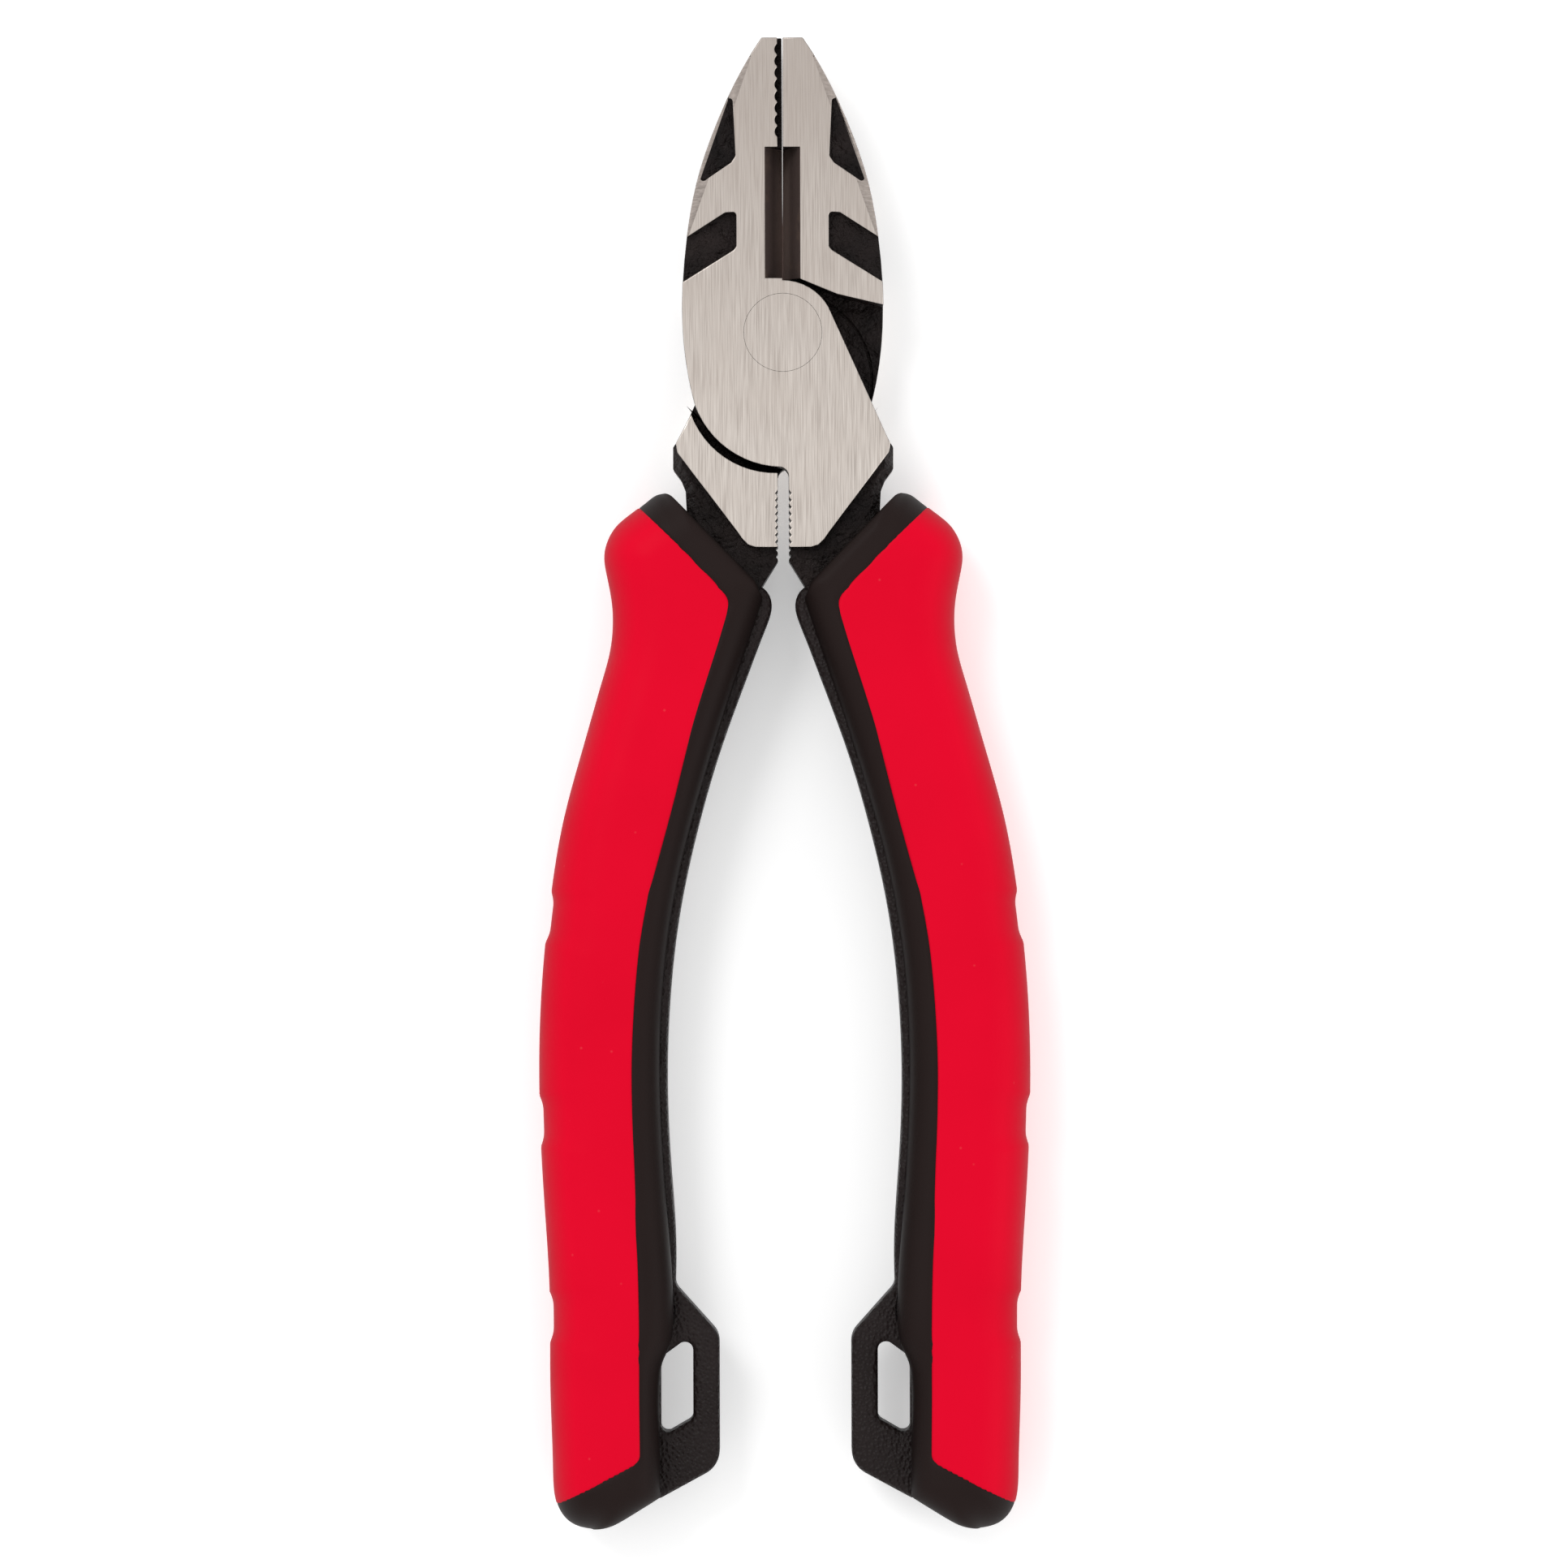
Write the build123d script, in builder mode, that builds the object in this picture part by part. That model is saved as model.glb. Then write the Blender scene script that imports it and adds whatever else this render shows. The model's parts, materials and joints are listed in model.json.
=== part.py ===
from build123d import *

import os
from math import hypot, radians, sqrt, tan

# Lineman pliers of the 8 in class, lying flat on their grips.
# +X right, +Y towards the nose, +Z up. The origin is under the middle of the
# tool's box, and Z = 0 is the surface that the grips rest on.

# ---- overall ----
LENGTH = 203.2
NOSE_Y = LENGTH / 2
GRIP_THICK = 18.0
HEAD_THICK = 12.8
NECK_THICK = 10.2
TANG_THICK = 7.0
Z_MID = GRIP_THICK / 2
CHEEK = HEAD_THICK / 2

# ---- joint ----
PIVOT_Y = 61.5
RIVET_R = 5.3
RIVET_PLAY = 0.05
LAP_GAP = 0.1
LAP_R = 7.1
RELIEF_Y = 55.3
RELIEF_R = 12.3
RELIEF_WIDTH = 0.3
RELIEF_DEPTH = 0.35
REST_OPEN = 0.12
CLOSED_GAP = 0.06

# ---- jaws ----
HEAD_EDGE = [
    (2.8, NOSE_Y), (5.1, 98.0), (9.0, 90.0), (11.7, 82.0), (13.1, 74.0), (13.7, 64.0), (12.0, 51.7),
]
JAW_FOOT_Y = 68.9
CUTTER_TOP_Y = 86.7
CUTTER_HALF_WIDTH = 2.4
CUTTER_EDGE_X = 0.05
CUTTER_LAND = 0.35
NOSE_TEETH = 8
NOSE_TOOTH_PITCH = 1.6
NOSE_TOOTH_R = 0.9
NOSE_TOOTH_DEPTH = 0.35
NOSE_TEETH_FROM_Y = 88.8
NOSE_STEP = 0.6
NOSE_STEP_DEPTH = 1.3
POCKET_DEPTH = 1.1
POCKET_CORNER_R = 0.5
BEVEL_LINE = [(-4.2, 99.0), (-13.2, 73.4)]
NECK_CHAMFER = 1.2

# ---- heel of each lever, behind the joint ----
HEEL_CORNERS = [(14.6, 46.4), (14.4, 45.2), (6.3, 34.4), (5.6, 33.4), (4.8, 32.6), (3.8, 32.3)]
HEEL_FOOT_Y = 32.3
SLOT_CREST = 0.75
SLOT_ROOT = 1.1
SLOT_TOP_Y = 42.0
CRIMP_TEETH = 10
CRIMP_PITCH = 0.95
CRIMP_HALF_WIDTH = 0.4
CRIMP_FROM_Y = 31.1
TANG_END_Y = -72.0

# ---- grips (drawn for the left one, mirrored for the right) ----
BODY_ROUND = 6.0
GRIP_SECTIONS = [
    (44.0, -24.8, 2.0), (25.0, -23.4, -2.6), (9.0, -26.4, -8.3), (-6.0, -30.2, -12.7),
    (-22.0, -32.5, -15.7), (-42.0, -33.2, -16.8), (-62.0, -32.5, -15.9), (-78.0, -32.1, -16.6),
    (-92.0, -31.8, -17.0), (-104.0, -31.6, -17.2),
]
SLEEVE_THICK = 11.0
SLEEVE_WALL = 1.8
RIB_THICK = 10.0
LOOP_THICK = 6.0
HOLE_EDGE_R = 1.0

# how far cutting shapes are drawn past the faces that they cut
PAST = 1.0


def jaw_face(y):
    """Distance of a jaw's gripping face from the middle line, with the jaws resting slightly open."""
    return (CLOSED_GAP + (y - PIVOT_Y) * tan(radians(REST_OPEN))) / 2


def lever_layer():
    """The upper layer of the lever: left jaw, lap over the joint and right heel, in one outline."""
    lap_start = (6.2, PIVOT_Y + sqrt(LAP_R**2 - 6.2**2))
    lap_middle = (LAP_R * 0.5, PIVOT_Y + LAP_R * sqrt(0.75))
    face_foot = jaw_face(JAW_FOOT_Y)
    lap_end = (-face_foot, PIVOT_Y + sqrt(LAP_R**2 - face_foot**2))
    tip = (-jaw_face(NOSE_Y), NOSE_Y)
    with BuildSketch() as outline:
        with BuildLine():
            Line(tip, (-HEAD_EDGE[0][0], NOSE_Y))
            Spline(*[(-x, y) for x, y in HEAD_EDGE])
            ThreePointArc((-12.0, 51.7), (-6.7, 45.1), (-0.3, 43.2))
            RadiusArc((-0.3, 43.2), (SLOT_CREST, SLOT_TOP_Y), 1.4)
            Line((SLOT_CREST, SLOT_TOP_Y), (SLOT_CREST, HEEL_FOOT_Y))
            Polyline((SLOT_CREST, HEEL_FOOT_Y), *HEEL_CORNERS[::-1], (14.2, 47.2), lap_start)
            ThreePointArc(lap_start, lap_middle, lap_end)
            Line(lap_end, tip)
        make_face()
    return outline.sketch


def heel_layer():
    """The lower layer of the heel, hollowed by an arc that clears the other lever's lap."""
    with BuildSketch() as outline:
        with BuildLine():
            ThreePointArc((SLOT_CREST, 42.4), (7.9, 44.5), (12.5, 50.4))
            Polyline((12.5, 50.4), *HEEL_CORNERS, (SLOT_CREST, HEEL_FOOT_Y), (SLOT_CREST, 42.4))
        make_face()
    return outline.sketch


def neck_outline():
    """The black forged neck under the heel, running down into the grip's collar."""
    with BuildSketch() as outline:
        Polygon(
            (SLOT_CREST, 41.8), (8.0, 44.0), (14.2, 46.9), (15.0, 46.0), (15.0, 43.0), (13.9, 41.5),
            (13.3, 40.0), (13.1, 36.0), (16.0, 28.0), (7.5, 22.0), (2.9, 27.0), (SLOT_CREST, 30.5),
            align=None,
        )
    return outline.sketch


def neck_block():
    """The neck with its outer forged edges chamfered."""
    with BuildPart() as neck:
        with BuildSketch(Plane.XY.offset(Z_MID - NECK_THICK / 2)):
            add(neck_outline())
        extrude(amount=NECK_THICK)
        flats = neck.faces().filter_by(Axis.Z).edges()
        chamfer([e for e in flats if e.center().X > 12.0 and e.center().Y > 30.0], NECK_CHAMFER)
    return neck.part


def tang_outline(grow=0.0):
    """The tang inside the right grip, tapering towards its end; grow widens it into the sleeve's plan."""
    inner = [(7.5, 27.0), (13.0, 10.0), (18.9, -12.0), (21.4, -40.0), (21.8, TANG_END_Y - grow)]
    outer = [(27.2, TANG_END_Y - grow), (28.4, -40.0), (26.4, -12.0), (21.4, 10.0), (15.5, 30.0)]
    with BuildSketch() as outline:
        with BuildLine():
            Spline(*[(x - grow, y) for x, y in inner])
            Line((inner[-1][0] - grow, inner[-1][1]), (outer[0][0] + grow, outer[0][1]))
            Spline(*[(x + grow, y) for x, y in outer])
            Line((outer[-1][0] + grow, outer[-1][1]), (inner[0][0] - grow, inner[0][1]))
        make_face()
    return outline.sketch


def jaw_pockets(cheek_z, inward):
    """Two forged pockets in one cheek of the left jaw; inward is +1 or -1 along Z."""
    with BuildSketch(Plane.XY.offset(cheek_z)) as pockets:
        Polygon(
            (-6.85, 95.2), (-6.4, 85.5), (-7.0, 84.6), (-10.8, 82.0), (-11.6, 83.0), (-9.4, 88.9),
            align=None,
        )
        Polygon(
            (-6.3, 77.9), (-6.3, 73.2), (-6.7, 72.7), (-15.0, 67.5), (-15.0, 73.2), (-7.8, 77.8),
            align=None,
        )
        fillet(pockets.vertices(), POCKET_CORNER_R)
    extrude(pockets.sketch, amount=inward * POCKET_DEPTH, mode=Mode.SUBTRACT)


def jaw_bevels():
    """A ground facet along the outer edge of the left jaw, on both cheeks, fading out at its two ends."""
    (x0, y0), (x1, y1) = BEVEL_LINE
    along = Vector(x1 - x0, y1 - y0, 0).normalized()
    outward = Vector(along.Y, -along.X, 0)
    for side in (1, -1):
        start = Plane(origin=(x0, y0, Z_MID + side * CHEEK), x_dir=outward, z_dir=along)
        up = start.y_dir.Z * side
        with BuildSketch(start) as facet:
            Polygon((0, 0), (4, -4 * up), (4, up), (0, up), align=None)
        extrude(facet.sketch, amount=hypot(x1 - x0, y1 - y0), mode=Mode.SUBTRACT)


def steel_lever(rivet_hole_r):
    """One forged lever: left jaw, lap on the upper side, right heel, neck and tang."""
    floor_z = Z_MID - CHEEK
    lower = Plane.XY.offset(floor_z)
    with BuildPart() as lever:
        with BuildSketch(Plane.XY.offset(Z_MID + LAP_GAP / 2)):
            add(lever_layer())
        extrude(amount=CHEEK - LAP_GAP / 2)
        with BuildSketch(lower):
            add(lever_layer())
            Polygon(
                (-20, NOSE_Y + PAST), (PAST, NOSE_Y + PAST), (PAST, JAW_FOOT_Y), (-2.3, JAW_FOOT_Y - 0.1),
                (-7.4, 66.7), (-20, 63.7), align=None, mode=Mode.INTERSECT,
            )
        extrude(amount=CHEEK + LAP_GAP / 2)
        with BuildSketch(lower):
            add(heel_layer())
        extrude(amount=CHEEK + LAP_GAP / 2)
        add(neck_block())
        with BuildSketch(Plane.XY.offset(Z_MID - TANG_THICK / 2)):
            add(tang_outline())
        extrude(amount=TANG_THICK)
        # thin machined ring in the lap face, seen where the other lever's lap leaves it open
        with BuildSketch(Plane.XY.offset(Z_MID + LAP_GAP / 2)):
            with Locations((0, RELIEF_Y)):
                Circle(RELIEF_R)
                Circle(RELIEF_R - RELIEF_WIDTH, mode=Mode.SUBTRACT)
        extrude(amount=RELIEF_DEPTH, mode=Mode.SUBTRACT)
        # rivet hole through both cheeks
        with BuildSketch(lower):
            with Locations((0, PIVOT_Y)):
                Circle(rivet_hole_r)
        extrude(amount=HEAD_THICK, mode=Mode.SUBTRACT)
        # a step along the nose with a row of round-bottomed teeth, in the upper cheek only
        with BuildSketch(Plane.XY.offset(Z_MID + CHEEK)):
            Polygon(
                (-jaw_face(CUTTER_TOP_Y) - NOSE_STEP, CUTTER_TOP_Y), (PAST, CUTTER_TOP_Y),
                (PAST, NOSE_Y + PAST), (-jaw_face(NOSE_Y) - NOSE_STEP, NOSE_Y + PAST), align=None,
            )
            for i in range(NOSE_TEETH):
                y = NOSE_TEETH_FROM_Y + i * NOSE_TOOTH_PITCH
                with Locations((NOSE_TOOTH_R - NOSE_TOOTH_DEPTH - NOSE_STEP - jaw_face(y), y)):
                    Circle(NOSE_TOOTH_R)
        extrude(amount=-NOSE_STEP_DEPTH, mode=Mode.SUBTRACT)
        # crimping teeth in the slot behind the joint
        with BuildSketch(lower):
            for i in range(CRIMP_TEETH):
                with Locations((SLOT_CREST, CRIMP_FROM_Y + i * CRIMP_PITCH)):
                    Polygon(
                        (-PAST, -CRIMP_HALF_WIDTH), (0, -CRIMP_HALF_WIDTH), (SLOT_ROOT - SLOT_CREST, 0),
                        (0, CRIMP_HALF_WIDTH), (-PAST, CRIMP_HALF_WIDTH), align=None,
                    )
        extrude(amount=HEAD_THICK, mode=Mode.SUBTRACT)
        # side-cutter bevels, from the upper cheek and from the lower one down to the cutting edge
        for side, foot_y in ((1, JAW_FOOT_Y), (-1, JAW_FOOT_Y - PAST)):
            with BuildSketch(Plane.XZ.offset(-CUTTER_TOP_Y)):
                Polygon(
                    (-CUTTER_HALF_WIDTH, Z_MID + side * CHEEK), (PAST, Z_MID + side * CHEEK),
                    (PAST, Z_MID + side * CUTTER_LAND), (-CUTTER_EDGE_X, Z_MID + side * CUTTER_LAND),
                    align=None,
                )
            extrude(amount=CUTTER_TOP_Y - foot_y, mode=Mode.SUBTRACT)
        jaw_bevels()
        jaw_pockets(Z_MID + CHEEK, -1)
        jaw_pockets(floor_z, 1)
    return lever.part


def red_outline():
    """Plan of the left red grip, its outer side drawn a little proud so that the body trims it."""
    with BuildSketch() as outline:
        with BuildLine():
            Polyline((-28, 45), (-19.5, 37.8), (-10.8, 29.3), (-8.7, 27.0))
            Spline((-8.7, 27.0), (-7.5, 24.4), (-9.1, 17.8))
            Spline(
                (-9.1, 17.8), (-15.2, -3.8), (-19.6, -21.4), (-20.7, -40.2), (-19.8, -67.8), (-19.6, -91.1),
            )
            Polyline((-19.6, -91.1), (-20.7, -92.5), (-31.4, -98.2), (-40, -98.2), (-40, 45), (-28, 45))
        make_face()
    return outline.sketch


def body_ends():
    """Plan that trims the grip's body at its two ends: the collar above and the heel below."""
    with BuildSketch() as outline:
        with BuildLine():
            Spline((-26.0, 22.0), (-24.9, 28.0), (-24.2, 32.6), (-22.0, 36.4), (-18.4, 39.2))
            ThreePointArc((-18.4, 39.2), (-16.4, 39.7), (-14.6, 39.0))
            Polyline((-14.6, 39.0), (-3.4, 27.2), (-1.0, 20.0), (-1.0, -85.0), (-21.2, -99.5))
            Spline((-21.2, -99.5), (-26.2, -LENGTH / 2), (-30.2, -100.1), (-31.7, -97.3), (-34.0, -92.0))
            Polyline((-34.0, -92.0), (-40.0, -80.0), (-40.0, 10.0), (-26.0, 22.0))
        make_face()
    return outline.sketch


def rib_outline():
    """Plan of the textured rib along the inner edge, overlapping the body so that the two meet."""
    with BuildSketch() as outline:
        with BuildLine():
            Polyline((-8.0, 24.0), (-3.6, 27.0), (-2.2, 26.0), (-1.7, 23.8), (-4.0, 18.3))
            Spline((-4.0, 18.3), (-10.7, -0.4), (-14.8, -21.4), (-16.0, -42.4), (-14.9, -66.0))
            Polyline((-14.9, -66.0), (-14.9, -70.0), (-19.0, -70.0), (-19.0, -42.0))
            Spline((-19.0, -42.0), (-17.8, -21.4), (-13.7, -0.4), (-8.0, 17.0))
            Line((-8.0, 17.0), (-8.0, 24.0))
        make_face()
    return outline.sketch


def loop_outline():
    """Plan of the tether loop, with its slanted slot."""
    with BuildSketch() as slot:
        Polygon(
            (-17.4, -78.6), (-14.5, -76.1), (-12.6, -76.1), (-12.6, -86.3), (-15.9, -88.6), (-17.4, -88.6),
            align=None,
        )
        fillet(slot.vertices(), HOLE_EDGE_R)
    with BuildSketch() as outline:
        Polygon(
            (-19.5, -66.0), (-14.9, -66.0), (-14.6, -68.6), (-9.8, -73.6), (-9.0, -76.0), (-9.0, -90.0),
            (-10.0, -92.6), (-12.5, -94.4), (-17.1, -97.0), (-19.5, -96.0), align=None,
        )
        add(slot.sketch, mode=Mode.SUBTRACT)
    return outline.sketch


def full_grip():
    """The left grip's rounded body, lofted through upright sections and trimmed at both ends."""
    with BuildPart() as grip:
        for y, outer_x, inner_x in GRIP_SECTIONS:
            width = inner_x - outer_x
            with BuildSketch(Plane.XZ.offset(-y)):
                with Locations(((outer_x + inner_x) / 2, Z_MID)):
                    RectangleRounded(width, GRIP_THICK, BODY_ROUND)
        loft()
        with BuildSketch():
            add(body_ends())
        extrude(amount=GRIP_THICK, mode=Mode.INTERSECT)
    return grip.part


def core_blank():
    """Sleeve round the tang, inner rib and loop, still without the tang's pocket."""
    with BuildPart() as core:
        with BuildSketch(Plane.XY.offset(Z_MID - SLEEVE_THICK / 2)):
            mirror(tang_outline(SLEEVE_WALL), about=Plane.YZ)
        extrude(amount=SLEEVE_THICK)
        with BuildSketch(Plane.XY.offset(Z_MID - RIB_THICK / 2)):
            add(rib_outline())
        extrude(amount=RIB_THICK)
        with BuildSketch(Plane.XY.offset(Z_MID - LOOP_THICK / 2)):
            add(loop_outline())
        extrude(amount=LOOP_THICK)
    return core.part


right_lever_axis = Axis((0, 0, Z_MID), (0, 1, 0))
os.makedirs("parts", exist_ok=True)

left_lever = steel_lever(RIVET_R + RIVET_PLAY)
left_lever.label = "left_jaw_lever"
export_step(left_lever, "parts/left_jaw_lever.step")

right_lever = steel_lever(RIVET_R).rotate(right_lever_axis, 180)
right_lever.label = "right_jaw_lever"
export_step(right_lever, "parts/right_jaw_lever.step")

with BuildPart() as pivot_rivet:
    with BuildSketch(Plane.XY.offset(Z_MID - CHEEK)):
        with Locations((0, PIVOT_Y)):
            Circle(RIVET_R)
    extrude(amount=HEAD_THICK)
pivot_rivet.part.label = "pivot_rivet"
export_step(pivot_rivet.part, "parts/pivot_rivet.step")

# ---- grips: the left one from its outlines, the right one as its mirror image ----

with BuildPart() as left_core:
    add(core_blank())
    add(right_lever, mode=Mode.SUBTRACT)

with BuildPart() as left_red:
    with BuildSketch():
        add(red_outline())
    extrude(amount=GRIP_THICK)
    add(full_grip(), mode=Mode.INTERSECT)
    add(core_blank(), mode=Mode.SUBTRACT)
    add(right_lever, mode=Mode.SUBTRACT)

with BuildPart() as left_band:
    add(full_grip())
    with BuildSketch():
        add(red_outline())
    extrude(amount=GRIP_THICK, mode=Mode.SUBTRACT)
    add(core_blank(), mode=Mode.SUBTRACT)
    add(right_lever, mode=Mode.SUBTRACT)

LEFT_PIECES = (("handle_core", left_core), ("red_grip", left_red), ("grip_band", left_band))
for piece_name, left_piece in LEFT_PIECES:
    for side, shape in (("left", left_piece.part), ("right", mirror(left_piece.part, about=Plane.YZ))):
        shape.label = f"{side}_{piece_name}"
        export_step(shape, f"parts/{shape.label}.step")
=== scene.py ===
import json
from math import cos, pi, radians, sin

import bmesh
import bpy
import numpy as np
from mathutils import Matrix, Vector


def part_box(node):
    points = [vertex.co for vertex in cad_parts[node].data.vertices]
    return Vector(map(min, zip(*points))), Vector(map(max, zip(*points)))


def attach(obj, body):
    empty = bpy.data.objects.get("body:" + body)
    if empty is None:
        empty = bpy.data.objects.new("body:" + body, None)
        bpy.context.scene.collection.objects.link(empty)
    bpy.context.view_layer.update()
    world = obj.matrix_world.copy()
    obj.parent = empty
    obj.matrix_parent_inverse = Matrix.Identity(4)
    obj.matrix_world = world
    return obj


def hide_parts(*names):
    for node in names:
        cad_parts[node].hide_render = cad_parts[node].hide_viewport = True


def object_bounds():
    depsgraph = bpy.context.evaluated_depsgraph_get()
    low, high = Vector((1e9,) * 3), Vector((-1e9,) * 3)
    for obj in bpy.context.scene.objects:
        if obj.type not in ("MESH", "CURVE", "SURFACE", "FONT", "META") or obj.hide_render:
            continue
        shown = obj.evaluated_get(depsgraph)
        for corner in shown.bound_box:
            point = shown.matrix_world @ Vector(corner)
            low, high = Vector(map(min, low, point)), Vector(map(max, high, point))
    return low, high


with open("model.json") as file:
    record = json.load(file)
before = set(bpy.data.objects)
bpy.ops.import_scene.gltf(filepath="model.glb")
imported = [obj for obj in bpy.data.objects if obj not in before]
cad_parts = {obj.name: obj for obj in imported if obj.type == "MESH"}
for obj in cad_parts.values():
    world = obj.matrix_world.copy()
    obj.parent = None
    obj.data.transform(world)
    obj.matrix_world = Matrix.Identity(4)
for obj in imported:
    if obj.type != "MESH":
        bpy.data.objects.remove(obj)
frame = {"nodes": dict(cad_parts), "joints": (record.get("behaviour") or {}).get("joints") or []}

cad_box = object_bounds()


# ---- Bench, lamps and camera ----
# A pale, faintly glowing bench under the tool, a soft lamp high beyond its nose and a dim one at the right.
# The camera looks straight down at the tool.
MM = 0.001
joint = frame["joints"][0]
Z_MID = joint["pos_m"][2] / MM
BENCH_GREY = (0.93, 0.93, 0.93, 1)
BENCH_ROUGHNESS = 0.9
BENCH_GLOW = 0.35
BENCH_SIZE = 6
BENCH_DROP = 0.2 * MM
WHITE = (1, 1, 1, 1)
SKY_STRENGTH = 0.8


def bare_material(name):
    """A new material's node tree with its Principled shader and its Object coordinates."""
    material = bpy.data.materials.new(name)
    material.use_nodes = True
    tree = material.node_tree
    coords = tree.nodes.new("ShaderNodeTexCoord")
    return material, tree, tree.nodes["Principled BSDF"], coords.outputs["Object"]


bench_material, _, bench_shader, _ = bare_material("pale_bench")
bench_shader.inputs["Base Color"].default_value = BENCH_GREY
bench_shader.inputs["Roughness"].default_value = BENCH_ROUGHNESS
bench_shader.inputs["Emission Color"].default_value = WHITE
bench_shader.inputs["Emission Strength"].default_value = BENCH_GLOW
bpy.ops.mesh.primitive_plane_add(size=BENCH_SIZE, location=(0, 0, cad_box[0][2] - BENCH_DROP))
bench = bpy.context.object
bench.name = "bench"
bench.data.materials.append(bench_material)

world = bpy.data.worlds.new("studio")
world.use_nodes = True
sky = world.node_tree.nodes["Background"]
sky.inputs["Color"].default_value = WHITE
sky.inputs["Strength"].default_value = SKY_STRENGTH
bpy.context.scene.world = world
bpy.context.scene.view_settings.view_transform = "Standard"


def soft_lamp(name, place, size, watts):
    """A round area lamp in metres, aimed at the origin under the middle of the tool."""
    light = bpy.data.lights.new(name, "AREA")
    light.shape = "DISK"
    light.size = size
    light.energy = watts
    lamp = bpy.data.objects.new(name, light)
    bpy.context.scene.collection.objects.link(lamp)
    lamp.location = place
    lamp.rotation_euler = (-Vector(place)).to_track_quat("-Z", "Y").to_euler()


soft_lamp("overhead", (-0.5, 0.6, 1.1), 0.5, 4.5)
soft_lamp("right_fill", (1.0, -0.3, 0.6), 0.6, 1.5)

VIEW_WIDTH = 214.4 * MM
CAMERA_HEIGHT = 1.1
CAMERA_Y = 0.1 * MM
CAMERA_ROLL = radians(-0.15)
SENSOR = 36
camera = bpy.data.objects.new("camera", bpy.data.cameras.new("camera"))
bpy.context.scene.collection.objects.link(camera)
camera.data.sensor_width = SENSOR
camera.data.lens = SENSOR * (CAMERA_HEIGHT - Z_MID * MM) / VIEW_WIDTH
camera.location = (0, CAMERA_Y, CAMERA_HEIGHT)
camera.rotation_euler = (0, 0, CAMERA_ROLL)
bpy.context.scene.camera = camera


# ---- Forged levers and rivet ----
# Two forgings of one steel pattern, joined by a rivet ground flush. The cheeks and the facets along the jaws
# are ground bright, with painted shade darkening the facets and the steel towards the nose. The cutter's
# bevels are dark, with painted light along their seam, and what the wheel does not reach keeps its black
# forging scale.
PIVOT_Y = joint["pos_m"][1] / MM
BAND_STRETCH = (1900, 50, 300)
BAND_SHARE = 0.15
WARM_STAIN = (0.62, 0.54, 0.48, 1)
# Painted shade: the ground steel is darkened towards the nose.
NOSE_SHADE_STEEL = (0.36, 0.31, 0.28, 1)
NOSE_SHADE_FROM = 48 * MM
NOSE_SHADE_TO = 94 * MM
NOSE_SHADE_SHARE = 0.55
SCALE_BLACK = (0.006, 0.0042, 0.004, 1)
SCALE_GREY = (0.021, 0.0145, 0.0135, 1)
SCALE_SPECULAR = 0.2
SCALE_RELIEF = 1.4 * MM
GRAIN_SHARE = 0.35
CUTTER_BROWN = (0.085, 0.060, 0.054, 1)
CUTTER_RUST = (0.17, 0.115, 0.085, 1)
# Painted light: the cutter's bevels are brightened near the seam, against the shade in the groove.
SEAM_LIGHT = (0.36, 0.27, 0.24, 1)
SEAM_LIGHT_REACH = 1.2 * MM
SEAM_LIGHT_FULL = 0.2 * MM


def group_of(name, inputs, outputs):
    """A shader node group with its sockets; returns it with its input and output nodes."""
    group = bpy.data.node_groups.new(name, "ShaderNodeTree")
    for socket, kind, value in inputs:
        made = group.interface.new_socket(name=socket, in_out="INPUT", socket_type=kind)
        if value is not None:
            made.default_value = value
    for socket, kind in outputs:
        group.interface.new_socket(name=socket, in_out="OUTPUT", socket_type=kind)
    return group, group.nodes.new("NodeGroupInput"), group.nodes.new("NodeGroupOutput")


def noise(tree, vector, scale, detail=4.0, roughness=0.5, stretch=None):
    """A noise texture's Fac output, with its coordinates stretched if asked."""
    if stretch:
        mapping = tree.nodes.new("ShaderNodeMapping")
        mapping.inputs["Scale"].default_value = stretch
        tree.links.new(vector, mapping.inputs["Vector"])
        vector = mapping.outputs["Vector"]
    texture = tree.nodes.new("ShaderNodeTexNoise")
    texture.inputs["Scale"].default_value = scale
    texture.inputs["Detail"].default_value = detail
    texture.inputs["Roughness"].default_value = roughness
    tree.links.new(vector, texture.inputs["Vector"])
    return texture.outputs["Fac"]


def remap(tree, value, low, high, to_low, to_high):
    """A value moved from one range to another and held inside it."""
    node = tree.nodes.new("ShaderNodeMapRange")
    node.inputs["From Min"].default_value = low
    node.inputs["From Max"].default_value = high
    node.inputs["To Min"].default_value = to_low
    node.inputs["To Max"].default_value = to_high
    tree.links.new(value, node.inputs["Value"])
    return node.outputs["Result"]


def blend_colours(tree, factor, first, second):
    """The first colour fading into the second by a factor; each is a colour or a colour output."""
    node = tree.nodes.new("ShaderNodeMix")
    node.data_type = "RGBA"
    for colour, socket in ((first, node.inputs[6]), (second, node.inputs[7])):
        if isinstance(colour, tuple):
            socket.default_value = colour
        else:
            tree.links.new(colour, socket)
    tree.links.new(factor, node.inputs[0])
    return node.outputs[2]


def bump(tree, height, strength, distance):
    """A Normal that follows a height; distance is in metres."""
    node = tree.nodes.new("ShaderNodeBump")
    node.inputs["Strength"].default_value = strength
    node.inputs["Distance"].default_value = distance
    tree.links.new(height, node.inputs["Height"])
    return node.outputs["Normal"]


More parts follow.
